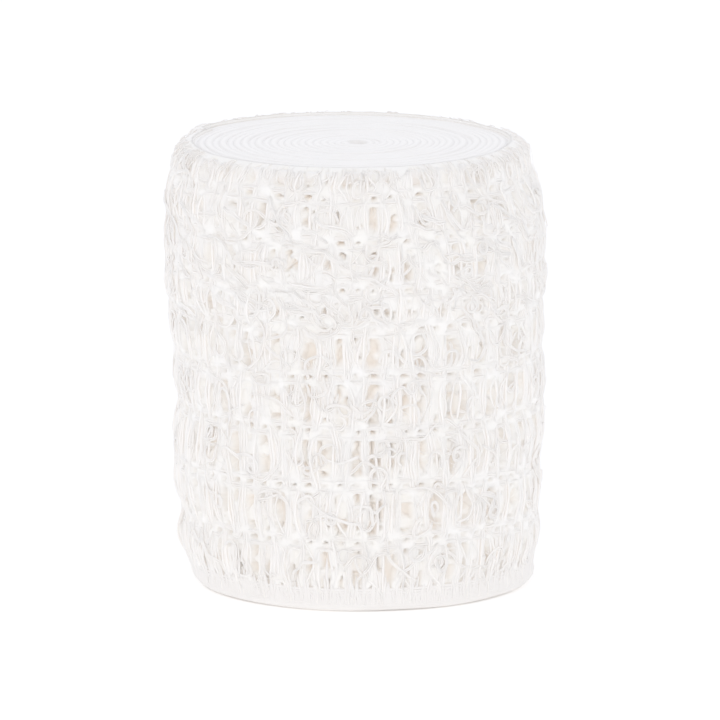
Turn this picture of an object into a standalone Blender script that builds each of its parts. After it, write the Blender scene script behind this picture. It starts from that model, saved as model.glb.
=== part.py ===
"""A crepe bandage, 5 cm wide, wound into a roll that stands on its end.

The cloth is one long strip, so the roll is one closed body. Its two end faces show the
winding as a spiral groove, from a small dimple at the core to the cut end on the side.
The side carries the tiers of the open weave: a crease at each pair of warp threads, and
soft padding between them. Metres, +Z up, with the roll standing on z = 0.
"""

import math
from collections import namedtuple

import bmesh
import bpy
from mathutils import Vector, noise

MM = 0.001

# The roll. Its height is the bandage's width.
ROLL_HEIGHT = 50.0 * MM
EYE_RADIUS = 1.4 * MM
EYE_DEPTH = 1.1 * MM

# The winding: its main turns, and the straight steps that make one turn.
TURNS = 11
STEPS = 48
GROOVE_DEPTH = 0.5 * MM
CREST_START = 0.28
CREST_END = 0.72

# The cut end of the strip, anticlockwise from +X as seen from above. Its edge wanders a
# little up its height, and the power says how soon that fades along the outer turn.
CUT_END_ANGLE = math.radians(152.0)
CUT_END_SLANT = math.radians(4.0)
CUT_END_WANDER = math.radians(3.0)
WANDER_FADE = 6

# The side's padding between its creases, and the soft lumps of the whole roll.
PUFF = 0.36 * MM
PUFF_VARIES = 0.5
PUFF_LENGTH = 5.0 * MM
LUMP = 0.42 * MM
LUMP_LENGTH = 8.0 * MM
EDGE_DROP = 0.4 * MM
EDGE_LENGTH = 6.0 * MM
ROWS_PER_TIER = 4

# How far the left and right sides stand from the roll's axis, at the rims and creases.
Section = namedtuple("Section", "height left right crease")
SECTIONS = (
    Section(height=0.0 * MM, left=16.6 * MM, right=18.3 * MM, crease=False),
    Section(height=0.8 * MM, left=17.9 * MM, right=19.4 * MM, crease=False),
    Section(height=2.0 * MM, left=18.9 * MM, right=20.0 * MM, crease=False),
    Section(height=3.6 * MM, left=19.6 * MM, right=20.3 * MM, crease=True),
    Section(height=8.1 * MM, left=19.6 * MM, right=20.6 * MM, crease=True),
    Section(height=14.4 * MM, left=20.6 * MM, right=20.9 * MM, crease=True),
    Section(height=20.8 * MM, left=20.0 * MM, right=21.0 * MM, crease=True),
    Section(height=26.7 * MM, left=20.6 * MM, right=21.1 * MM, crease=True),
    Section(height=32.2 * MM, left=21.0 * MM, right=21.0 * MM, crease=True),
    Section(height=36.7 * MM, left=21.3 * MM, right=21.2 * MM, crease=True),
    Section(height=42.0 * MM, left=21.2 * MM, right=21.0 * MM, crease=True),
    Section(height=46.8 * MM, left=20.9 * MM, right=19.6 * MM, crease=True),
    Section(height=49.2 * MM, left=20.4 * MM, right=19.3 * MM, crease=False),
    Section(height=50.0 * MM, left=19.7 * MM, right=18.7 * MM, crease=False),
)

COTTON_COLOR = (0.93, 0.91, 0.88, 1.0)
COTTON_ROUGHNESS = 0.95
SHARP_ANGLE = math.radians(50.0)

MIDDLE_TURN = TURNS + 0.5
LAST_STEP = TURNS * STEPS


def clear_scene():
    """Take away whatever the scene holds."""
    for item in list(bpy.data.objects):
        bpy.data.objects.remove(item, do_unlink=True)


def cotton_material():
    """Matt off-white cotton."""
    material = bpy.data.materials.new("crepe_cotton")
    material.use_nodes = True
    shader = material.node_tree.nodes["Principled BSDF"]
    shader.inputs["Base Color"].default_value = COTTON_COLOR
    shader.inputs["Roughness"].default_value = COTTON_ROUGHNESS
    shader.inputs["Metallic"].default_value = 0.0
    material.diffuse_color = COTTON_COLOR
    return material


def turns_past_cut_end(angle):
    """The share of a turn, 0 to 1, that a direction lies past the cut end."""
    return ((angle - CUT_END_ANGLE) / math.tau) % 1.0


def unwound(radius, angle):
    """The radius halfway through the outer turn that gives this radius in this direction."""
    reach = (TURNS + turns_past_cut_end(angle)) / MIDDLE_TURN
    return EYE_RADIUS + (radius - EYE_RADIUS) / reach


def section_at(height):
    """The left and right radii at a height, and how far it is between two creases."""
    last = len(SECTIONS) - 1
    index = next((i for i in range(last) if height < SECTIONS[i + 1].height), last - 1)
    low, high = SECTIONS[index], SECTIONS[index + 1]
    share = (height - low.height) / (high.height - low.height)
    left = low.left + (high.left - low.left) * share
    right = low.right + (high.right - low.right) * share
    between = share if low.crease and high.crease else 0.0
    return left, right, between


def outline(angle, height):
    """The side's radius halfway through the outer turn, in a direction at a height."""
    left, right, between = section_at(height)
    rightness = 0.5 + 0.5 * math.cos(angle)
    radius = unwound(right, 0.0) * rightness + unwound(left, math.pi) * (1.0 - rightness)
    place = Vector((radius * math.cos(angle), radius * math.sin(angle), height))
    fullness = 1.0 + PUFF_VARIES * noise.noise(place / PUFF_LENGTH)
    radius += PUFF * fullness * math.sin(math.pi * between)
    return radius + LUMP * noise.noise(place / LUMP_LENGTH)


def direction(step, turn, height):
    """The angle of a point of the winding. The cut end slants, and wanders up its height."""
    angle = CUT_END_ANGLE + math.tau * (step - LAST_STEP) / STEPS
    outer = max(0.0, turn - TURNS)
    nearness = abs(2.0 * outer - 1.0) ** WANDER_FADE if turn >= TURNS else 0.0
    wander = CUT_END_WANDER * math.sin(math.tau * height / ROLL_HEIGHT)
    return angle - CUT_END_SLANT * outer + wander * nearness


def wound_point(step, turn, height):
    """A point of the winding: which way it lies, and how many turns out from the core."""
    angle = direction(step, turn, height)
    radius = EYE_RADIUS + (outline(angle, height) - EYE_RADIUS) * turn / MIDDLE_TURN
    return Vector((radius * math.cos(angle), radius * math.sin(angle), height))


def edge_height(point, turn, top, groove):
    """The height of the strip's edge on an end face: level below, uneven on top."""
    depth = GROOVE_DEPTH if groove and turn < TURNS else 0.0
    if not top:
        return depth
    place = Vector((point.x / EDGE_LENGTH, point.y / EDGE_LENGTH, turn))
    drop = EDGE_DROP * (0.5 + noise.noise(place))
    return ROLL_HEIGHT - max(0.0, drop) - depth


def end_face(body, top):
    """One end of the roll: a spiral of grooves and crests around the core's dimple.

    Returns the vertices of its rim, from the inner side of the cut end round to its
    outer side and back across the cloth's thickness.
    """
    height = ROLL_HEIGHT if top else 0.0

    def vertex(step, offset):
        turn = step / STEPS + offset
        point = wound_point(step, turn, height)
        point.z = edge_height(point, turn, top, groove=offset == 0.0)
        return body.verts.new(point)

    grooves = [vertex(step, 0.0) for step in range(LAST_STEP + STEPS + 1)]
    inner = [vertex(step, CREST_START) for step in range(LAST_STEP + 1)]
    outer = [vertex(step, CREST_END) for step in range(LAST_STEP + 1)]
    for step in range(LAST_STEP):
        across = (grooves[step], inner[step], outer[step], grooves[step + STEPS])
        ahead = (grooves[step + 1], inner[step + 1], outer[step + 1], grooves[step + STEPS + 1])
        for i in range(3):
            body.faces.new((across[i], across[i + 1], ahead[i + 1], ahead[i]))

    core = body.verts.new((0.0, 0.0, height - EYE_DEPTH if top else EYE_DEPTH))
    ring = grooves[: STEPS + 1] + [outer[0], inner[0], grooves[0]]
    for here, following in zip(ring, ring[1:]):
        body.faces.new((core, here, following))
    return grooves[LAST_STEP:] + [outer[LAST_STEP], inner[LAST_STEP]]


def row_heights():
    """The heights of the side's rows: each section, and three more between two creases."""
    heights = []
    for low, high in zip(SECTIONS, SECTIONS[1:]):
        rows = ROWS_PER_TIER if low.crease and high.crease else 1
        heights += [low.height + (high.height - low.height) * i / rows for i in range(rows)]
    return heights[1:]


def side(body, bottom_rim, top_rim):
    """The side of the outer turn, with the cut end as a narrow step in it."""
    steps = [LAST_STEP + i for i in range(STEPS + 1)] + [LAST_STEP, LAST_STEP]
    turns = [step / STEPS for step in steps[: STEPS + 1]]
    turns += [TURNS + CREST_END, TURNS + CREST_START]
    rows = [bottom_rim]
    for height in row_heights():
        rows.append([body.verts.new(wound_point(s, t, height)) for s, t in zip(steps, turns)])
    rows.append(top_rim)
    columns = len(steps)
    for below, above in zip(rows, rows[1:]):
        for i in range(columns):
            j = (i + 1) % columns
            body.faces.new((below[i], below[j], above[j], above[i]))


def centre_over_origin(body):
    """Move the roll sideways, so that the middle of its box stands over the origin."""
    shift = Vector((0.0, 0.0, 0.0))
    for axis in (0, 1):
        places = [vertex.co[axis] for vertex in body.verts]
        shift[axis] = -(min(places) + max(places)) / 2.0
    bmesh.ops.translate(body, verts=body.verts, vec=shift)


def bandage_roll():
    """The whole roll as one closed body."""
    body = bmesh.new()
    bottom_rim = end_face(body, top=False)
    top_rim = end_face(body, top=True)
    side(body, bottom_rim, top_rim)
    bmesh.ops.recalc_face_normals(body, faces=body.faces)
    centre_over_origin(body)
    mesh = bpy.data.meshes.new("bandage_roll")
    body.to_mesh(mesh)
    body.free()
    mesh.shade_smooth()
    mesh.set_sharp_from_angle(angle=SHARP_ANGLE)
    mesh.materials.append(cotton_material())
    roll = bpy.data.objects.new("bandage_roll", mesh)
    bpy.context.scene.collection.objects.link(roll)
    return roll


clear_scene()
bandage_roll()
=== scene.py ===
"""The looks of a rolled crepe bandage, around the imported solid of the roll.

The cloth is one strip, wound on itself. The inner turns are a real spiral sheet, whose
edges show on both ends. The outer turn shows its threads: pairs of warp threads around
the roll, bundles of weft threads up it, and the curls, stray ends and lint of the
crimped yarn, over a body of matted yarn with holes where no thread crosses.
Metres, +Z up, in the frame of the solid.
"""

import math
from collections import namedtuple

import bpy
import numpy as np
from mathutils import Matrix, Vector
from mathutils.bvhtree import BVHTree


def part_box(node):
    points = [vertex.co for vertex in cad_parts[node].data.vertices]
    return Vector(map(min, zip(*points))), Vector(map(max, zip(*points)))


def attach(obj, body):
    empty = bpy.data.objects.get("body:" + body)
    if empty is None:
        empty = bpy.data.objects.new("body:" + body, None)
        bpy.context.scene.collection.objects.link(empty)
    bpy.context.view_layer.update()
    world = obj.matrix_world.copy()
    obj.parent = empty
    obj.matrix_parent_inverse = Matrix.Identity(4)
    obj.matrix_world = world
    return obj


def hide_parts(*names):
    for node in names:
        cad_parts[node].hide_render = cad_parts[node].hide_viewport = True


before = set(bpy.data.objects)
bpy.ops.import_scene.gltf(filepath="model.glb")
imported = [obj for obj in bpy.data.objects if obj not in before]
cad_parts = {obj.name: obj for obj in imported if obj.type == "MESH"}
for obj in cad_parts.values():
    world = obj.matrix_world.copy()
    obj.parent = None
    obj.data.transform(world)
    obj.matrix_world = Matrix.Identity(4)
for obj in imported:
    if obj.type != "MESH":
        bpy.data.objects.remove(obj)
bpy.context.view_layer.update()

MM = 0.001
NODE = "bandage_roll"
BODY = "root"


def mm(*lengths):
    """Lengths given in millimetres, in metres."""
    return np.array(lengths) * MM


def degrees(*angles):
    """Angles given in degrees, in radians."""
    return np.radians(angles)


# The roll, as the solid has it. The winding's axis is a little off the middle of its box.
LOW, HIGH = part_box(NODE)
HEIGHT = HIGH[2] - LOW[2]
AXIS = Vector((0.08 * MM, -0.43 * MM, 0.0))
RADIUS = 21.2 * MM
CIRCUMFERENCE = math.tau * RADIUS

# The cut end of the strip: which way it lies, how its edge wanders and frays up the roll,
# and how the cloth that laps past it comes down onto the turn below.
CUT_END = math.radians(152.0)
CUT_WANDER = math.radians(2.0)
CUT_FRAY = math.radians(0.5)
FRAY_LENGTH = 0.7 * MM
WANDER_FADE = 12
LAP = 1.7 * MM
DROP_LENGTH = 1.6 * MM
DROP_LIFT = 0.15 * MM

# The winding: its eye, its turns and the steps of each.
EYE_RADIUS = 1.2 * MM
FINE_TURNS = 23
TURN_STEPS = 90

# The strip's section: points up its width, half its thickness, and how far inside the
# solid's side it stands: further out near its two edges, of which the upper is uneven.
STRIP_LEVELS = mm(0.25, 1.2, 3.4, 8.1, 14.4, 20.8, 28.0, 35.0, 42.0, 46.8, 48.8, 49.76)
STRIP_CROWN = HEIGHT - 0.2 * MM
STRIP_HALF = 0.45 * MM
STRIP_INSET = 2.65 * MM
OUT_AT_TOP = 1.15 * MM
OUT_AT_FOOT = 1.75 * MM
UNEVEN_ABOVE = 47.0 * MM
CRIMP = 0.03 * MM
CRIMPS_PER_TURN = 41

# The weave: warp pairs up the width, and the weft bundles that cross them.
PAIR_HEIGHTS = mm(8.1, 14.4, 20.8, 26.7, 32.2, 36.7, 42.0, 46.8)
PAIR_SPREAD = 0.6 * MM
PAIR_WANDER = 0.28 * MM
SELVEDGE = 2.7 * MM
TOP_SELVEDGE = 0.7 * MM
LOWEST = 0.3 * MM
CELL_EDGES = np.concatenate(([SELVEDGE], PAIR_HEIGHTS, [HEIGHT - TOP_SELVEDGE]))
CELLS = len(CELL_EDGES) - 1
BUNDLES = 70
PITCH = CIRCUMFERENCE / BUNDLES
DRIFT = 0.2 * MM
DRIFT_PLACES = np.linspace(0.0, 1.0, 200)
SLIP_SHARE = 0.12
STRAY_SHARE = 0.08

# Threads lie sunk in the solid's side, and weave a little over and under each other. They
# taper at both ends to a share of their thickness.
WARP_LIFT = -0.34 * MM
WARP_RADIUS = 0.11 * MM
STRAND_GAP = 0.15 * MM
WEFT_LIFT = -0.39 * MM
CUT_END_LIFT = -0.3 * MM
CUT_END_RADIUS = 0.12 * MM
CROSSING = 0.12 * MM
TIP = 0.45
STEEP = 0.8

# Weft strands of one kind: their places across a bundle and the size of its half, how much
# they splay and wander, and their radius and number of sides.
Weft = namedtuple("Weft", "places spread splay wander radius sides")
THICK_WEFT = Weft(
    places=(-1.0, 0.0, 1.0), spread=0.3 * MM, splay=0.14 * MM, wander=0.16 * MM,
    radius=0.15 * MM, sides=4,
)
FINE_WEFT = Weft(
    places=(0.0,), spread=0.3 * MM, splay=0.7 * MM, wander=0.5 * MM, radius=0.11 * MM, sides=3,
)

# Loose yarn of one kind: how many, their plies and points, the least and most of their
# length, turning, height, lift at the ends, rise in the middle and radius, how slowly they
# bend, and whether they stand upright. Curls have no heights: they lie in the weave's cells.
Loose = namedtuple(
    "Loose", "count plies points length turning heights lift rise radius wind upright"
)
HOOKS = Loose(
    count=300, plies=2, points=16, length=mm(3.8, 7.0), turning=degrees(165, 235),
    heights=None, lift=mm(-0.45, -0.34), rise=mm(0.08, 0.3), radius=mm(0.1, 0.135),
    wind=0.3, upright=True,
)
FLAT_CURL = HOOKS._replace(upright=False)
RINGS = FLAT_CURL._replace(
    count=90, points=24, length=mm(5.0, 7.5), turning=degrees(300, 400)
)
COILS = FLAT_CURL._replace(
    count=24, points=38, length=mm(9.0, 13.0), turning=degrees(600, 740)
)
BENDS = FLAT_CURL._replace(count=150, length=mm(4.0, 9.0), turning=degrees(40, 130))
SWEPT = Loose(
    count=260, plies=3, points=14, length=mm(3.0, 7.5), turning=degrees(-100, 100),
    heights=mm(32.0, 45.0), lift=mm(-0.44, -0.28), rise=mm(0.08, 0.3), radius=mm(0.1, 0.13),
    wind=0.5, upright=False,
)
FIBRES = Loose(
    count=500, plies=1, points=14, length=mm(2.5, 8.0), turning=degrees(-260, 260),
    heights=mm(1.5, 49.0), lift=mm(-0.5, -0.2), rise=mm(0.0, 0.4), radius=mm(0.025, 0.045),
    wind=0.45, upright=False,
)
RIM_HAIRS = Loose(
    count=260, plies=1, points=10, length=mm(1.0, 2.6), turning=degrees(-120, 120),
    heights=mm(48.7, 49.7), lift=mm(-0.45, -0.25), rise=mm(0.05, 0.3), radius=mm(0.05, 0.09),
    wind=0.45, upright=True,
)
SWEPT_SLOPE = math.radians(-26.0)
SWEPT_SCATTER = math.radians(26.0)
YARN_WAVER = 0.4
YARN_TILT = 0.3 * MM
PLY_GAP = 0.15 * MM
PLY_SCATTER = 0.03 * MM

# The lower edge's threads: those round the rim, and the weft that turns back over them.
RIM_THREADS = 11
RIM_LIFT = -0.42 * MM
RIM_RADIUS = 0.17 * MM
WRAPS = 560
WRAP_LIFT = -0.32 * MM
WRAP_BEND = 0.25 * MM
WRAP_REACH = 1.4 * MM
WRAP_RADIUS = 0.15 * MM

# The matted yarn between the threads: its even level, its ridges, its holes and its grain,
# the shares of the side that lie in holes, below the even level and below the full ridge,
# and how finely it is mapped.
MAT_LEVEL = -0.41 * MM
MAT_RIDGE = 0.2 * MM
MAT_HOLE = -1.9 * MM
MAT_GRAIN = 0.03 * MM
HOLE_SHARE = 0.1
FULL_SHARE = 0.23
RIDGE_SHARE = 0.97
MAT_COLUMNS = 580
MAT_ROWS = 260

# How the cloth rounds over into the two end faces, and swells at its foot.
TOP_ROUNDING = 1.4 * MM
BOTTOM_ROUNDING = 0.5 * MM
CORNER_ROWS = 6
RIM_ROWS = 4
RIM_WIDTH = 0.9 * MM
RIM_SLOPE = 0.2 * MM
RIM_DEPTH = 1.0 * MM
RIM_TONE_UNDER = 0.3
RIM_TONE_OVER = 0.15
RIM_TONE_STEP = 0.05
FOOT = 0.8 * MM
FOOT_HEIGHT = 2.2 * MM
FOOT_FULLNESS = 1.3

# Cotton of one kind: its darkest and lightest colour, its sheen, and the share of light
# that sinks in and comes out beside.
Cotton = namedtuple("Cotton", "name dark light sheen depth")
# The matted yarn's darkest colour is the warm painted shade of its holes.
MATTED = Cotton("matted_cotton", (0.94, 0.865, 0.785, 1), (0.99, 0.948, 0.9, 1), 0.5, 0.75)
YARN = Cotton("cotton_yarn", (0.94, 0.865, 0.785, 1), (0.996, 0.958, 0.91, 1), 0.5, 0.4)
# The selvedges' yarn is darker as painted shade, against the light that the glowing floor throws
# up onto the lower edge.
CLOSE_YARN_PAINTED_SHADE = Cotton("close_yarn_painted_shade", (0.82, 0.785, 0.757, 1), (0.885, 0.86, 0.835, 1), 0.4, 0.0)
# The wound strip's darkest colour is painted shade, for where it shows through the holes.
WOUND_YARN = Cotton("wound_yarn", (0.90, 0.86, 0.82, 1), (0.985, 0.975, 0.965, 1), 0.6, 0.0)
SINK = 0.3 * MM
RELIEF = 0.03 * MM

# The camera: how high it looks from, how far away, how wide it sees, and what it looks at.
ELEVATION = math.radians(10.8)
DISTANCE = 1.5
VIEW_WIDTH = 80.7 * MM
AIM = Vector((0.5 * MM, 0.0, 24.9 * MM))

# The light tent, and its key lamp.
TENT_LOW = (1.0, 1.0, 1.0, 1.0)
TENT_SIDE = (0.952, 0.905, 0.868, 1.0)
TENT_TOP = (0.73, 0.77, 0.88, 1.0)
KEY_PLACE = Vector((-0.08, -0.6, 0.35))
KEY_AIM = Vector((0.0, 0.0, 0.02))
KEY_SIZE = 0.4
KEY_POWER = 0.45
KEY_COLOR = (1.0, 0.93, 0.86)
GAMMA = 1.9

# The floor, and the round part of it under the roll's foot, which doesn't glow.
FLOOR_HALF = 3.0
FLOOR_COLOR = (0.94, 0.94, 0.94, 1.0)
FLOOR_GLOW = 0.25
FOOT_MIDDLE = (0.83 * MM, -0.43 * MM, 0.0)
FOOT_RADIUS = 18.4 * MM
GLOW_FADE = 0.5 * MM


def smooth(x):
    """A soft step from 0 to 1."""
    x = np.clip(x, 0.0, 1.0)
    return x * x * (3.0 - 2.0 * x)


def blurred(values, axis, sigma):
    """Values smoothed along one axis, with their ends held."""
    reach = int(math.ceil(3 * sigma))
    weights = np.exp(-0.5 * (np.arange(-reach, reach + 1) / sigma) ** 2)
    weights /= weights.sum()
    pads = [(0, 0), (0, 0)]
    pads[axis] = (reach, reach)
    padded = np.pad(values, pads, mode="edge")
    return np.apply_along_axis(lambda row: np.convolve(row, weights, "valid"), axis, padded)


def between(rng, limits, count):
    """Random numbers, spread evenly between two limits."""
    low, high = limits
    return low + (high - low) * rng.random(count)


def wave(rng, count, x, size, parts=4, fastest=6):
    """Soft random functions of x, which runs from 0 to 1, about size high."""
    total = np.zeros((count, len(x)))
    for _ in range(parts):
        speed = rng.integers(1, fastest + 1, (count, 1))
        phase = rng.random((count, 1)) * math.tau
        total += np.sin(speed * x[None] * math.tau + phase) / parts
    return total * size * 1.4


class Skin:
    """The solid's side as a map: its radius at each turn share and height."""

    TURNS_READ = np.linspace(0.018, 0.972, 260)
    HEIGHTS_READ = np.linspace(0.1 * MM, 49.3 * MM, 200)
    FAR = 60.0 * MM

    def __init__(self, solid):
        corners = [tuple(v.co) for v in solid.data.vertices]
        faces = [tuple(p.vertices) for p in solid.data.polygons]
        tree = BVHTree.FromPolygons(corners, faces)
        radii = np.empty((len(self.TURNS_READ), len(self.HEIGHTS_READ)))
        for i, turn in enumerate(self.TURNS_READ):
            angle = CUT_END + math.tau * turn
            outward = Vector((math.cos(angle), math.sin(angle), 0.0))
            for j, height in enumerate(self.HEIGHTS_READ):
                start = AXIS + outward * self.FAR + Vector((0.0, 0.0, height))
                reach = tree.ray_cast(start, -outward)[3]
                radii[i, j] = self.FAR - reach
        self.radii = blurred(blurred(radii, 0, 3.0), 1, 0.8)

    def __call__(self, turn, height):
        """The radius at these turn shares, 0 to 1 from the cut end, and heights."""
        turn, height = np.broadcast_arrays(turn, height)
        first, last = self.TURNS_READ[0], self.TURNS_READ[-1]
        low, high = self.HEIGHTS_READ[0], self.HEIGHTS_READ[-1]
        u = np.clip((turn - first) / (last - first), 0.0, 1.0) * (len(self.TURNS_READ) - 1)
        v = np.clip((height - low) / (high - low), 0.0, 1.0) * (len(self.HEIGHTS_READ) - 1)
        i = np.minimum(u.astype(int), len(self.TURNS_READ) - 2)
        j = np.minimum(v.astype(int), len(self.HEIGHTS_READ) - 2)
        u, v = u - i, v - j
        below = self.radii[i, j] * (1 - u) + self.radii[i + 1, j] * u
        above = self.radii[i, j + 1] * (1 - u) + self.radii[i + 1, j + 1] * u
        return below * (1 - v) + above * v


skin = Skin(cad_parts[NODE])


def rounding(height):
    """How far the side draws in near the two ends, as a quarter circle at each."""
    above = np.clip((height - HEIGHT) / TOP_ROUNDING + 1.0, 0.0, 1.0)
    below = np.clip(1.0 - height / BOTTOM_ROUNDING, 0.0, 1.0)
    drawn = TOP_ROUNDING * (1.0 - np.sqrt(1.0 - above**2))
    return drawn + BOTTOM_ROUNDING * (1.0 - np.sqrt(1.0 - below**2))


def around_axis(radius, angle, height):
    """Points around the winding's axis."""
    x = AXIS.x + radius * np.cos(angle)
    y = AXIS.y + radius * np.sin(angle)
    return np.stack((x, y, np.broadcast_to(height, radius.shape)), axis=-1)


def place(turn, aside, height, lift):
    """Points on the side: a turn share, a way round from it, a height, and a lift.

    A point past the cut end comes down onto the turn below.
    """
    turn = np.maximum(turn + aside / CIRCUMFERENCE, 0.0)
    past = np.maximum(turn - 1.0, 0.0)
    fallen = smooth(past * CIRCUMFERENCE / DROP_LENGTH)
    height = np.clip(height, LOWEST, HEIGHT)
    radius = skin(np.minimum(turn, 1.0), height)
    radius = radius * (1 - fallen) + (skin(past, height) + DROP_LIFT) * fallen + lift
    swell = FOOT * smooth(FOOT_FULLNESS * (1.0 - height / FOOT_HEIGHT))
    radius = radius - rounding(height) + swell
    wander = CUT_WANDER * np.sin(math.tau * height / HEIGHT)
    wander = wander + CUT_FRAY * np.sin(height / FRAY_LENGTH)
    near_end = np.abs(2 * np.minimum(turn, 1.0) - 1) ** WANDER_FADE
    return around_axis(radius, CUT_END + math.tau * turn + wander * near_end, height)


def widths(radius, paths):
    """One radius, or one for each thread, given at every point of the paths."""
    return np.broadcast_to(np.asarray(radius, dtype=float).reshape(-1, 1), paths.shape[:2])


def tubes(paths, radius, sides):
    """Round threads along paths of shape (count, points, 3), as arrays for a mesh.

    Returns vertices, quads, end caps, the quads' UVs and the thread that each vertex is of.
    """
    count, points, _ = paths.shape
    radius = widths(radius, paths)
    tangent = np.gradient(paths, axis=1)
    tangent /= np.maximum(np.linalg.norm(tangent, axis=2, keepdims=True), 1e-12)
    upright = np.where(np.abs(tangent[:, :1, 2:]) > STEEP, [[[1.0, 0, 0]]], [[[0, 0, 1.0]]])
    normal = np.empty_like(paths)
    current = np.broadcast_to(upright[:, 0], (count, 3)).copy()
    for k in range(points):
        along = tangent[:, k]
        current = current - (current * along).sum(1, keepdims=True) * along
        current /= np.maximum(np.linalg.norm(current, axis=1, keepdims=True), 1e-12)
        normal[:, k] = current
    across = np.cross(tangent, normal)
    turn = np.arange(sides) * math.tau / sides
    thick = np.ones(points)
    thick[[0, -1]] = TIP
    ring = normal[:, :, None] * np.cos(turn)[:, None] + across[:, :, None] * np.sin(turn)[:, None]
    ring = ring * (radius * thick)[:, :, None, None]
    vertices = (paths[:, :, None] + ring).reshape(-1, 3)

    start = np.arange(count)[:, None, None] * points * sides
    k = np.arange(points - 1)[None, :, None] * sides
    i = np.arange(sides)[None, None, :]
    j = (i + 1) % sides
    here = start + k
    following = here + sides
    quads = np.stack((here + i, here + j, following + j, following + i), axis=-1).reshape(-1, 4)
    head = start[:, 0] + np.arange(sides)[::-1]
    tail = start[:, 0] + (points - 1) * sides + np.arange(sides)

    # A thread's UV runs on by 1 for each eight radii of its length.
    steps = np.linalg.norm(np.diff(paths, axis=1), axis=2)
    length = np.concatenate((np.zeros((count, 1)), np.cumsum(steps, axis=1)), axis=1)
    u = length / (8 * np.maximum(radius[:, :1], 1e-9))
    u0 = np.broadcast_to(u[:, :-1, None], (count, points - 1, sides))
    u1 = np.broadcast_to(u[:, 1:, None], (count, points - 1, sides))
    v0 = np.broadcast_to(i / sides, (count, points - 1, sides))
    v1 = np.broadcast_to((i + 1) / sides, (count, points - 1, sides))
    uv = np.stack((u0, v0, u0, v1, u1, v1, u1, v0), axis=-1).reshape(-1, 2)
    owner = np.repeat(np.arange(count), points * sides)
    return vertices, quads, np.concatenate((head, tail)), uv, owner


def mesh_piece(name, vertices, face_groups, uv, tone, material):
    """A smooth object from arrays of faces, which rides on the roll."""
    mesh = bpy.data.meshes.new(name)
    mesh.vertices.add(len(vertices))
    mesh.vertices.foreach_set("co", vertices.astype(np.float32).ravel())
    corners = np.concatenate([faces.ravel() for faces in face_groups])
    mesh.loops.add(len(corners))
    mesh.loops.foreach_set("vertex_index", corners.astype(np.int32))
    sizes = np.concatenate([np.full(len(faces), faces.shape[1]) for faces in face_groups])
    mesh.polygons.add(len(sizes))
    mesh.polygons.foreach_set("loop_start", (np.cumsum(sizes) - sizes).astype(np.int32))
    layer = mesh.uv_layers.new(name="Yarn")
    layer.data.foreach_set("uv", uv.astype(np.float32).ravel())
    tones = mesh.attributes.new("tone", "FLOAT", "POINT")
    tones.data.foreach_set("value", tone.astype(np.float32))
    mesh.update(calc_edges=True)
    mesh.shade_smooth()
    mesh.materials.append(material)
    piece = bpy.data.objects.new(name, mesh)
    bpy.context.scene.collection.objects.link(piece)
    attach(piece, BODY)
    return piece


def thread_mesh(name, groups, material, seed):
    """One object of many threads, each of its own tone. A group is (paths, radius, sides)."""
    rng = np.random.default_rng(seed)
    vertices, faces, uvs, tones = [], [], [], []
    base = 0
    for paths, radius, sides in groups:
        points, quads, caps, uv, owner = tubes(paths, radius, sides)
        vertices.append(points)
        tones.append((1.0 - 0.25 * rng.random(len(paths)))[owner])
        faces += [quads + base, caps + base]
        uvs += [uv, np.zeros((caps.size, 2))]
        base += len(points)
    tone = np.concatenate(tones)
    return mesh_piece(name, np.concatenate(vertices), faces, np.concatenate(uvs), tone, material)


def cell_of(height):
    """Which cell between two warp pairs a height lies in, and how far up that cell."""
    cell = np.clip(np.searchsorted(CELL_EDGES, height) - 1, 0, CELLS - 1)
    share = (height - CELL_EDGES[cell]) / (CELL_EDGES[cell + 1] - CELL_EDGES[cell])
    return cell, np.clip(share, 0.0, 1.0)


def leans():
    """How far each bundle leans aside in each cell: two and two, so that holes open between."""
    rng = np.random.default_rng(21)
    slips = np.cumsum(rng.random((BUNDLES, CELLS)) < SLIP_SHARE, axis=0)
    order = np.arange(BUNDLES)[:, None] + slips + rng.integers(0, 2, CELLS)[None]
    size = 0.06 + 0.2 * rng.random((BUNDLES, CELLS))
    return np.where(order % 2 == 0, 1, -1) * PITCH * size


LEANS = leans()
DRIFTS = wave(np.random.default_rng(22), BUNDLES, DRIFT_PLACES, DRIFT, 4, 7)


def bundle_lines(height):
    """How far aside of its place each bundle runs at these heights."""
    cell, share = cell_of(height)
    drift = np.array([np.interp(height / HEIGHT, DRIFT_PLACES, line) for line in DRIFTS])
    return LEANS[:, cell] * np.sin(math.pi * share)[None] + drift


def pair_lines(turn):
    """The height of each warp pair round the roll."""
    rng = np.random.default_rng(23)
    return np.array([height + wave(rng, 1, turn, PAIR_WANDER)[0] for height in PAIR_HEIGHTS])


def warp_paths(rng, points=220):
    """The warp threads: two for each pair, each of three strands, with frayed ends."""
    paths = []
    for pair in range(len(PAIR_HEIGHTS)):
        for side in (-1, 1):
            for strand in (-1, 0, 1):
                turn = np.linspace(0.0, 1.003 + 0.022 * rng.random(), points)
                level = pair_lines(turn)[pair] + side * PAIR_SPREAD + strand * STRAND_GAP
                level = level + wave(rng, 1, turn, 0.1 * MM, 5, 50)[0]
                over = 0.1 * MM * np.sin(turn * BUNDLES * math.pi + side * math.pi / 2)
                lift = WARP_LIFT + over + wave(rng, 1, turn, 0.1 * MM, 4, 40)[0]
                paths.append(place(turn, 0.0, level, lift - abs(strand) * 0.05 * MM))
    return np.array(paths)


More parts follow.
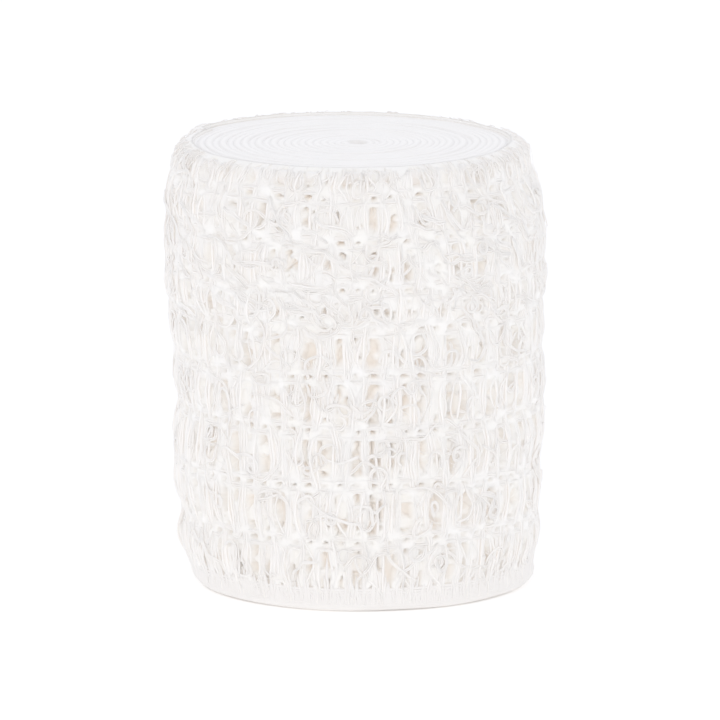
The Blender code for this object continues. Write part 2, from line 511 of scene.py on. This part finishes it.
def weft_group(rng, kind, points=60):
    """Weft strands of one kind, which cross the warp pairs and splay between them."""
    bundle = np.repeat(np.arange(BUNDLES), len(kind.places))
    strand = np.tile(kind.places, BUNDLES)[:, None]
    count = len(bundle)
    height = np.linspace(0.4 * MM, HEIGHT - 0.3 * MM, points)
    cell, share = cell_of(height)
    middle = np.sin(math.pi * share)[None]
    splay = rng.normal(0.0, kind.splay, (count, CELLS))[:, cell]
    bulge = np.abs(rng.normal(0.05 * MM, 0.12 * MM, (count, CELLS)))[:, cell]
    stray = (rng.random((count, CELLS)) < STRAY_SHARE) * rng.choice([-1, 1], (count, CELLS))
    aside = strand * kind.spread * (1.0 + 0.3 * middle) + bundle_lines(height)[bundle]
    aside = aside + (splay + 0.8 * PITCH * stray[:, cell]) * middle
    aside = aside + wave(rng, count, height / HEIGHT, kind.wander, 5, 14)
    over = np.where(share < 0.5, 1, -1)[None] * np.where(bundle % 2 == 0, 1, -1)[:, None]
    lift = WEFT_LIFT + bulge * middle + CROSSING * over * (1 - middle)
    lift = lift - 0.1 * MM * strand**2
    paths = place((bundle[:, None] + 0.5) / BUNDLES, aside, height[None], lift)
    return paths, kind.radius, kind.sides


def cut_end_group(count=11, points=90):
    """The last weft threads, which lie close together along the cut end."""
    rng = np.random.default_rng(41)
    height = np.linspace(0.4 * MM, HEIGHT - 0.4 * MM, points)
    past = np.linspace(-0.2 * MM, 1.4 * MM, count)[:, None] / CIRCUMFERENCE
    aside = wave(rng, count, height / HEIGHT, 0.14 * MM, 5, 16)
    lift = wave(rng, count, height / HEIGHT, 0.05 * MM, 4, 30) + CUT_END_LIFT
    return place(1.0 + past, aside, height[None], lift), CUT_END_RADIUS, 4


def loose_group(rng, kind, turning, length, heights, heading, lift, rise):
    """Loose yarn that bends through an angle and goes back into the weave at both ends.

    Each yarn is some plies, which lie side by side and part a little.
    """
    count = kind.count
    t = np.linspace(0.0, 1.0, kind.points)
    bend = 0.5 + 0.5 * np.tanh((t - 0.5) / kind.wind) / math.tanh(0.5 / kind.wind)
    angle = heading[:, None] + turning[:, None] * (bend[None] - 0.5)
    angle = angle + wave(rng, count, t, YARN_WAVER, 3, 3)
    step = length[:, None] / (kind.points - 1)
    x = np.cumsum(np.cos(angle) * step, axis=1)
    y = np.cumsum(np.sin(angle) * step, axis=1)
    x -= x.mean(axis=1, keepdims=True)
    y -= y.mean(axis=1, keepdims=True)
    turn = rng.random((count, 1))
    climb = np.sin(math.pi * t)[None] ** 0.7
    tilt = YARN_TILT * rng.choice([-1, 1], (count, 1)) * (t[None] - 0.5)
    height = lift[:, None] + rise[:, None] * climb + tilt
    paths = []
    for ply in range(kind.plies):
        part = (ply - (kind.plies - 1) / 2) * PLY_GAP * (0.7 + 0.6 * rng.random((count, 1)))
        part = part * (1.0 + wave(rng, count, t, 0.5, 2, 2))
        sunk = rng.normal(0.0, PLY_SCATTER, (count, 1))
        beside = x - np.sin(angle) * part
        level = heights[:, None] + y + np.cos(angle) * part
        paths.append(place(turn, beside, level, height + sunk))
    radius = np.tile(between(rng, kind.radius, count), kind.plies)
    return np.concatenate(paths), radius, 3


def curl_heights(rng, count):
    """Random heights, most of them near the middle of a cell between two warp pairs."""
    span = np.diff(CELL_EDGES)
    cell = rng.choice(CELLS, count, p=span / span.sum())
    return CELL_EDGES[cell] + span[cell] * np.clip(rng.normal(0.5, 0.22, count), 0.1, 0.9)


def loose_curls(rng):
    """The curls of the high-twist yarn, all over the side."""
    groups = []
    for kind in (HOOKS, RINGS, COILS, BENDS):
        turning = between(rng, kind.turning, kind.count) * rng.choice([-1, 1], kind.count)
        heading = rng.random(kind.count) * math.tau
        if kind.upright:
            heading = math.pi * rng.integers(0, 2, kind.count)
            heading = heading + rng.normal(0.0, 0.35, kind.count)
        length = between(rng, kind.length, kind.count)
        heights = curl_heights(rng, kind.count)
        lift = between(rng, kind.lift, kind.count)
        rise = between(rng, kind.rise, kind.count)
        groups.append(loose_group(rng, kind, turning, length, heights, heading, lift, rise))
    return groups


def swept_strands(rng):
    """Pulled yarn in the upper part: most of it slants down to the right."""
    kind = SWEPT
    turning = between(rng, kind.turning, kind.count)
    length = between(rng, kind.length, kind.count)
    heights = between(rng, kind.heights, kind.count)
    heading = rng.normal(SWEPT_SLOPE, SWEPT_SCATTER, kind.count)
    lift = between(rng, kind.lift, kind.count)
    rise = between(rng, kind.rise, kind.count)
    return [loose_group(rng, kind, turning, length, heights, heading, lift, rise)]


def lint(rng):
    """Fine stray fibres over the whole side, and short hairs that stand over the top rim."""
    groups = []
    for kind in (FIBRES, RIM_HAIRS):
        turning = between(rng, kind.turning, kind.count)
        length = between(rng, kind.length, kind.count)
        heights = between(rng, kind.heights, kind.count)
        lift = between(rng, kind.lift, kind.count)
        rise = between(rng, kind.rise, kind.count)
        if kind.upright:
            heading = rng.normal(math.pi / 2, 0.7, kind.count)
        else:
            heading = rng.random(kind.count) * math.tau
        groups.append(loose_group(rng, kind, turning, length, heights, heading, lift, rise))
    return groups


def selvedges(rng):
    """The close-woven lower edge: threads round the rim, and the weft that turns over them."""
    turn = np.linspace(0.0, 1.0, 200)
    rim = []
    for share in np.linspace(0.0, 1.0, RIM_THREADS):
        level = LOWEST + (SELVEDGE - LOWEST) * share**1.4
        rim.append(place(turn, 0.0, level + wave(rng, 1, turn, 0.05 * MM)[0], RIM_LIFT))
    t = np.linspace(0.0, 1.0, 7)
    middle = (np.arange(WRAPS)[:, None] + rng.random((WRAPS, 1)) * 0.3) / WRAPS
    top = SELVEDGE - 0.4 * MM + np.abs(rng.normal(0.0, WRAP_REACH, (WRAPS, 1)))
    level = LOWEST + (top - LOWEST) * t[None] + rng.normal(0, 0.03 * MM, (WRAPS, 1))
    aside = rng.normal(0.0, 0.05 * MM, (WRAPS, len(t)))
    aside = aside + rng.normal(0.0, 0.2 * MM, (WRAPS, 1)) * t**3
    lift = WRAP_LIFT - WRAP_BEND * np.abs(2 * t[None] - 1) ** 3
    lift = lift + rng.normal(0, 0.015 * MM, (WRAPS, 1))
    wraps = place(middle, aside, level, lift)
    return [(np.array(rim), RIM_RADIUS, 4), (wraps, WRAP_RADIUS, 4)]


def cover(groups):
    """How much yarn lies over each spot of the side, from the threads that cross it."""
    total = np.zeros((MAT_COLUMNS, MAT_ROWS))
    for paths, radius, _ in groups:
        steps = np.linalg.norm(paths[:, 1:] - paths[:, :-1], axis=2)
        area = steps * widths(radius, paths)[:, 1:]
        for share in (0.0, 0.25, 0.5, 0.75):
            spot = paths[:, :-1] * (1 - share) + paths[:, 1:] * share
            angle = np.arctan2(spot[..., 1] - AXIS.y, spot[..., 0] - AXIS.x) - CUT_END
            turn = (angle / math.tau) % 1.0
            total += np.histogram2d(
                turn.ravel(),
                spot[..., 2].ravel(),
                bins=(MAT_COLUMNS, MAT_ROWS),
                range=((0.0, 1.0), (0.0, HEIGHT)),
                weights=area.ravel(),
            )[0]
    return blurred(blurred(total, 0, 1.0), 1, 1.1)


def noise_map(rng, across, up):
    """Soft noise from about -1 to 1 over the side, with lumps of this many cells."""
    rough = rng.standard_normal((MAT_COLUMNS, MAT_ROWS))
    soft = blurred(blurred(rough, 0, across), 1, up)
    return soft / soft.std() / 2.0


def mat_maps(groups, height):
    """The matted yarn's lift and tone over the side, under the threads of some groups. The tone is
    painted shade and light: darker in the holes, paler on the ridges.
    """
    rng = np.random.default_rng(31)
    yarn_over = cover(groups)
    woven = (height > SELVEDGE) & (height < HEIGHT - TOP_SELVEDGE)
    shares = (HOLE_SHARE, FULL_SHARE, RIDGE_SHARE)
    least, even, most = np.quantile(yarn_over[:, woven], shares)
    web = smooth(noise_map(rng, 2.0, 2.2) * 1.8 + 0.4)
    full = np.maximum(smooth((yarn_over - least) / (even - least)), 0.8 * web)
    near_foot = smooth((SELVEDGE + 2.0 * MM - height) / (2.6 * MM))
    near_top = smooth((height - HEIGHT + 1.5 * MM) / (1.0 * MM))
    full = np.maximum(full, (near_foot + near_top)[None])
    ridge = np.clip((yarn_over - even) / (most - even), 0.0, 1.0)
    grain = noise_map(rng, 1.0, 2.0)
    lift = MAT_HOLE + (MAT_LEVEL - MAT_HOLE) * full + MAT_RIDGE * ridge + MAT_GRAIN * grain
    # Painted shade and light: the tone is lowest in the holes, where the cloth sinks in, and a
    # little higher on the ridges under crossing threads.
    return lift, 0.7 * full + 0.1 * ridge


def past_edge(edge, change):
    """Rows past an edge row, away from it: they calm down to its mean, and change."""
    calm = np.minimum(np.arange(1, len(change) + 1) / CORNER_ROWS, 1.0)
    return edge + (edge.mean() - edge) * calm + change


def matted_yarn(groups, material):
    """The body of the outer turn: matted yarn, with holes where no thread crosses.

    It laps over its cut end, and is two pieces, of which the second continues the first
    upwards.
    """
    height = (np.arange(MAT_ROWS) + 0.5) / MAT_ROWS * HEIGHT
    lift, tone = mat_maps(groups, height)
    lap = int(LAP / CIRCUMFERENCE * MAT_COLUMNS) + 1
    turn = (np.arange(MAT_COLUMNS + lap) + 0.5) / MAT_COLUMNS

    # Beyond the kept rows the cloth rounds its two corners and runs in over the end faces.
    kept = (height > BOTTOM_ROUNDING) & (height < HEIGHT - TOP_ROUNDING)
    corner = 1.0 - np.sin(np.linspace(0.0, math.pi / 2, CORNER_ROWS + 1)[1:])
    inward = np.linspace(0.0, 1.0, RIM_ROWS + 1)[1:]
    under = np.concatenate((BOTTOM_ROUNDING * corner, RIM_SLOPE * inward))
    over = HEIGHT - np.concatenate((TOP_ROUNDING * corner, RIM_SLOPE * inward, [RIM_DEPTH]))
    drawn_in = -RIM_WIDTH * np.concatenate((np.zeros(CORNER_ROWS), inward, [1.0]))
    paler = np.minimum(RIM_TONE_STEP * np.arange(len(over)), RIM_TONE_OVER)

    def with_rims(values, below, above):
        """A map's lapped and kept rows, with rows beyond them that change by these amounts."""
        values = np.concatenate((values, values[:lap]))[:, kept]
        first = past_edge(values[:, :1], below)[:, ::-1]
        last = past_edge(values[:, -1:], above)
        return np.concatenate((first, values, last), axis=1)

    lift = with_rims(lift, drawn_in[:-1], drawn_in)
    tone = with_rims(tone, np.full(len(under), RIM_TONE_UNDER), paler)
    height = np.concatenate((under[::-1], height[kept], over))
    points = place(turn[:, None], 0.0, height[None], lift)
    around, up = np.meshgrid(turn * CIRCUMFERENCE / MM, height / MM, indexing="ij")
    uv = np.stack((around, up), axis=-1)

    half = len(height) // 2
    bands = {"matted_yarn_low": slice(0, half + 1), "matted_yarn_high": slice(half, None)}
    pieces = []
    for name, band in bands.items():
        part = points[:, band]
        index = np.arange(part.shape[0] * part.shape[1]).reshape(part.shape[:2])
        ring = (index[:-1, :-1], index[1:, :-1], index[1:, 1:], index[:-1, 1:])
        quads = np.stack(ring, axis=-1).reshape(-1, 4)
        part_uv = uv[:, band].reshape(-1, 2)[quads.ravel()]
        part_tone = tone[:, band].ravel()
        part = part.reshape(-1, 3)
        pieces.append(mesh_piece(name, part, [quads], part_uv, part_tone, material))
    return pieces


def wound_strip(material):
    """The whole strip as a spiral sheet, with rounded edges of uneven height on top."""
    rng = np.random.default_rng(5)
    turns = np.arange(FINE_TURNS * TURN_STEPS + 1) / TURN_STEPS
    angle = CUT_END + math.tau * (turns - FINE_TURNS)
    share = (turns - FINE_TURNS) % 1.0
    rise = wave(rng, 1, turns / FINE_TURNS, 0.08 * MM, 7, 60)[0]
    rise += 0.04 * MM * np.sin(turns * 2.7) - 0.06 * MM
    rise -= 0.15 * MM * smooth((turns - FINE_TURNS + 2.2) / 0.5)
    crimp = CRIMP * np.sin(angle * CRIMPS_PER_TURN)
    crimp += wave(rng, 1, turns / FINE_TURNS, CRIMP / 2, 6, 200)[0]

    def line(level, out):
        """A line all along the strip: a level up its width, and a way out from its middle."""
        near_top = smooth((level - HEIGHT + 2.4 * MM) / (1.6 * MM))
        near_foot = smooth((1.8 * MM - level) / (1.4 * MM))
        inset = STRIP_INSET - OUT_AT_TOP * near_top - OUT_AT_FOOT * near_foot
        limit = skin(share, level) - inset
        start = float(skin(0.0, level)) - inset
        meets = EYE_RADIUS + (start - EYE_RADIUS) * FINE_TURNS / (FINE_TURNS - 1.0)
        limit = limit + (meets - limit) * smooth((share - 0.8) / 0.2)
        full = FINE_TURNS - 1.0 + share
        radius = EYE_RADIUS + (limit - EYE_RADIUS) * turns / np.maximum(full, turns)
        uneven = rise if level > UNEVEN_ABOVE else 0.0
        return around_axis(radius + out + crimp, angle, level + uneven)

    ring = [line(0.0, 0.0)]
    ring += [line(level, STRIP_HALF) for level in STRIP_LEVELS]
    ring += [line(STRIP_CROWN, 0.0)]
    ring += [line(level, -STRIP_HALF) for level in STRIP_LEVELS[::-1]]
    rows = np.array(ring).transpose(1, 0, 2)
    index = np.arange(rows.shape[0] * rows.shape[1]).reshape(rows.shape[:2])
    following = np.roll(index, -1, axis=1)
    faces = (index[:-1], index[1:], following[1:], following[:-1])
    quads = np.stack(faces, axis=-1).reshape(-1, 4)
    caps = np.array([index[0], index[-1][::-1]])
    uv = np.zeros((quads.size + caps.size, 2))
    # Painted shade: away from its edges the strip is darker, where it lies under the outer turn
    # and shows only through the holes; near its edges, on the end faces, it is paler.
    near_edge = np.minimum(rows[..., 2], HEIGHT - rows[..., 2]) < 1.0 * MM
    tone = np.where(near_edge, 0.8, 0.1).ravel()
    return mesh_piece("wound_strip", rows.reshape(-1, 3), [quads, caps], uv, tone, material)


def node(tree, kind, **values):
    """A shader node with its properties or its unlinked inputs set."""
    made = tree.nodes.new(kind)
    for key, value in values.items():
        if key in made.inputs:
            made.inputs[key].default_value = value
        else:
            setattr(made, key, value)
    return made


def cotton(kind):
    """Matt crimped cotton: a tone for each thread, or painted shade and light from the tone that
    the matted yarn and wound strip carry, soft stains and a fibre's fine bump.
    """
    material = bpy.data.materials.new(kind.name)
    material.use_nodes = True
    tree = material.node_tree
    shader = tree.nodes["Principled BSDF"]
    shader.inputs["Roughness"].default_value = 0.92
    shader.inputs["Specular IOR Level"].default_value = 0.2
    shader.inputs["Sheen Weight"].default_value = kind.sheen
    shader.inputs["Sheen Roughness"].default_value = 0.6
    shader.inputs["Subsurface Weight"].default_value = kind.depth
    shader.inputs["Subsurface Radius"].default_value = (1.0, 1.0, 1.0)
    shader.inputs["Subsurface Scale"].default_value = SINK
    spot = node(tree, "ShaderNodeTexCoord")
    tone = node(tree, "ShaderNodeAttribute", attribute_name="tone")
    stains = node(tree, "ShaderNodeTexNoise", Scale=260.0, Detail=3.0)
    tree.links.new(spot.outputs["Object"], stains.inputs["Vector"])
    both = node(tree, "ShaderNodeMath", operation="ADD")
    tree.links.new(tone.outputs["Fac"], both.inputs[0])
    tree.links.new(stains.outputs["Fac"], both.inputs[1])
    share = node(tree, "ShaderNodeMapRange")
    share.inputs["From Min"].default_value = 0.45
    share.inputs["From Max"].default_value = 1.4
    tree.links.new(both.outputs[0], share.inputs["Value"])
    ramp = node(tree, "ShaderNodeValToRGB")
    ramp.color_ramp.elements[0].color = kind.dark
    ramp.color_ramp.elements[1].color = kind.light
    tree.links.new(share.outputs["Result"], ramp.inputs["Fac"])
    tree.links.new(ramp.outputs["Color"], shader.inputs["Base Color"])
    fibre = node(tree, "ShaderNodeTexNoise", Scale=9000.0, Detail=2.0)
    tree.links.new(spot.outputs["Object"], fibre.inputs["Vector"])
    twist = node(tree, "ShaderNodeTexWave", Scale=0.35, Distortion=0.6, bands_direction="DIAGONAL")
    tree.links.new(spot.outputs["UV"], twist.inputs["Vector"])
    mixed = node(tree, "ShaderNodeMath", operation="ADD")
    tree.links.new(fibre.outputs["Fac"], mixed.inputs[0])
    tree.links.new(twist.outputs["Fac"], mixed.inputs[1])
    relief = node(tree, "ShaderNodeBump", Strength=0.1, Distance=RELIEF)
    tree.links.new(mixed.outputs[0], relief.inputs["Height"])
    tree.links.new(relief.outputs["Normal"], shader.inputs["Normal"])
    return material


def camera():
    """The photograph's view: from the front, a little above, through a long lens."""
    away = Vector((0.0, -math.cos(ELEVATION), math.sin(ELEVATION)))
    data = bpy.data.cameras.new("camera")
    data.sensor_width = 36.0
    data.lens = data.sensor_width * DISTANCE / VIEW_WIDTH
    data.clip_end = 10.0
    view = bpy.data.objects.new("camera", data)
    view.location = AIM + away * DISTANCE
    view.rotation_euler = (-away).to_track_quat("-Z", "Y").to_euler()
    bpy.context.scene.collection.objects.link(view)
    bpy.context.scene.camera = view


def light_tent():
    """White light from below and all round, a little warm at the sides, and a cooler top."""
    world = bpy.data.worlds.new("studio")
    bpy.context.scene.world = world
    world.use_nodes = True
    tree = world.node_tree
    where = node(tree, "ShaderNodeTexCoord")
    split = node(tree, "ShaderNodeSeparateXYZ")
    ramp = node(tree, "ShaderNodeValToRGB")
    ramp.color_ramp.elements[0].position = 0.03
    ramp.color_ramp.elements[0].color = TENT_LOW
    ramp.color_ramp.elements[1].color = TENT_TOP
    side = ramp.color_ramp.elements.new(0.08)
    side.color = TENT_SIDE
    tree.links.new(where.outputs["Generated"], split.inputs[0])
    tree.links.new(split.outputs["Z"], ramp.inputs["Fac"])
    tree.links.new(ramp.outputs["Color"], tree.nodes["Background"].inputs["Color"])


def key_lamp():
    """A large soft lamp, in front and a little to the left."""
    data = bpy.data.lights.new("key", "AREA")
    data.shape = "DISK"
    data.size = KEY_SIZE
    data.energy = KEY_POWER
    data.color = KEY_COLOR
    lamp = bpy.data.objects.new("key", data)
    lamp.location = KEY_PLACE
    lamp.rotation_euler = (KEY_AIM - KEY_PLACE).to_track_quat("-Z", "Y").to_euler()
    bpy.context.scene.collection.objects.link(lamp)


def paper_floor():
    """A pale floor that glows a little.

    Its glow stops under the roll, which leaves a thin dark line where they meet.
    """
    half = FLOOR_HALF
    corners = [(-half, -half, 0), (half, -half, 0), (half, half, 0), (-half, half, 0)]
    data = bpy.data.meshes.new("floor")
    data.from_pydata(corners, [], [(0, 1, 2, 3)])
    paper = bpy.data.materials.new("paper")
    paper.use_nodes = True
    tree = paper.node_tree
    shader = tree.nodes["Principled BSDF"]
    shader.inputs["Base Color"].default_value = FLOOR_COLOR
    shader.inputs["Roughness"].default_value = 1.0
    shader.inputs["Emission Color"].default_value = (1.0, 1.0, 1.0, 1.0)
    spot = node(tree, "ShaderNodeTexCoord")
    reach = node(tree, "ShaderNodeVectorMath", operation="DISTANCE")
    reach.inputs[1].default_value = FOOT_MIDDLE
    glow = node(tree, "ShaderNodeMapRange")
    glow.inputs["From Min"].default_value = FOOT_RADIUS - GLOW_FADE
    glow.inputs["From Max"].default_value = FOOT_RADIUS
    glow.inputs["To Max"].default_value = FLOOR_GLOW
    tree.links.new(spot.outputs["Object"], reach.inputs[0])
    tree.links.new(reach.outputs["Value"], glow.inputs["Value"])
    tree.links.new(glow.outputs["Result"], shader.inputs["Emission Strength"])
    data.materials.append(paper)
    floor = bpy.data.objects.new("floor", data)
    bpy.context.scene.collection.objects.link(floor)


camera()
light_tent()
key_lamp()
paper_floor()
bpy.context.scene.view_settings.view_transform = "Standard"
bpy.context.scene.view_settings.gamma = GAMMA
bpy.context.scene.cycles.max_bounces = 20
bpy.context.scene.cycles.diffuse_bounces = 18

matted, yarn, close_yarn_painted_shade, wound_yarn = map(cotton, (MATTED, YARN, CLOSE_YARN_PAINTED_SHADE, WOUND_YARN))
rng = np.random.default_rng(11)
warp = [(warp_paths(rng), WARP_RADIUS, 3)]
weft = [weft_group(rng, THICK_WEFT), weft_group(rng, FINE_WEFT), cut_end_group()]
curls = loose_curls(rng)
swept = swept_strands(rng)
pieces = [
    thread_mesh("warp_threads", warp, yarn, 1),
    thread_mesh("weft_threads", weft, yarn, 2),
    thread_mesh("loose_curls", curls, yarn, 3),
    thread_mesh("swept_threads", swept, yarn, 4),
    thread_mesh("lint", lint(rng), yarn, 5),
    # The selvedges wear the darker yarn, as painted shade.
    thread_mesh("selvedges", selvedges(rng), close_yarn_painted_shade, 7),
]
pieces += matted_yarn(warp + weft + swept, matted)
strip = wound_strip(wound_yarn)
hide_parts(NODE)
